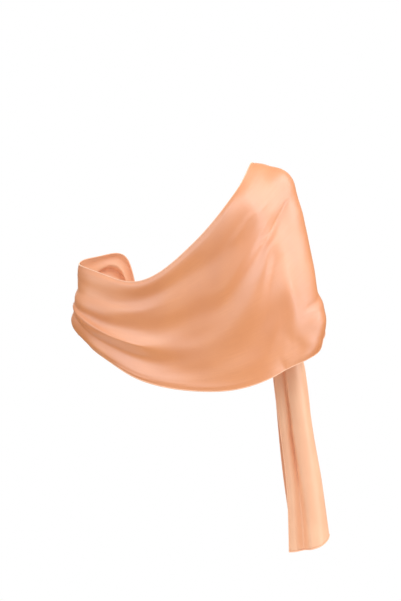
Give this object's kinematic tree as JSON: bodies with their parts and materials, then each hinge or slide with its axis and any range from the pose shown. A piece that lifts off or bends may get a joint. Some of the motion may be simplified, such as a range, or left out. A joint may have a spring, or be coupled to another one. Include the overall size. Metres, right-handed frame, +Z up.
{
  "type": "satin scarf",
  "caption": "Satin scarf worn over one shoulder, swept across the back and round the other arm, with a long end that hangs.",
  "frame": {"origin": "where the top of the wearer's right shoulder carries the cloth", "axes": "+Z up, +Y the way the wearer faces, +X towards the wearer's right hand"},
  "size_m": [0.5518, 0.3092, 0.8217],
  "materials": {
    "satin": "peach satin, glossy on the outer side and duller on the reverse"
  },
  "bodies": {
    "root": {"left_end": "satin", "back_drape": "satin", "shoulder_drape": "satin", "forearm_drape": "satin", "right_end": "satin"}
  },
  "joints": []
}
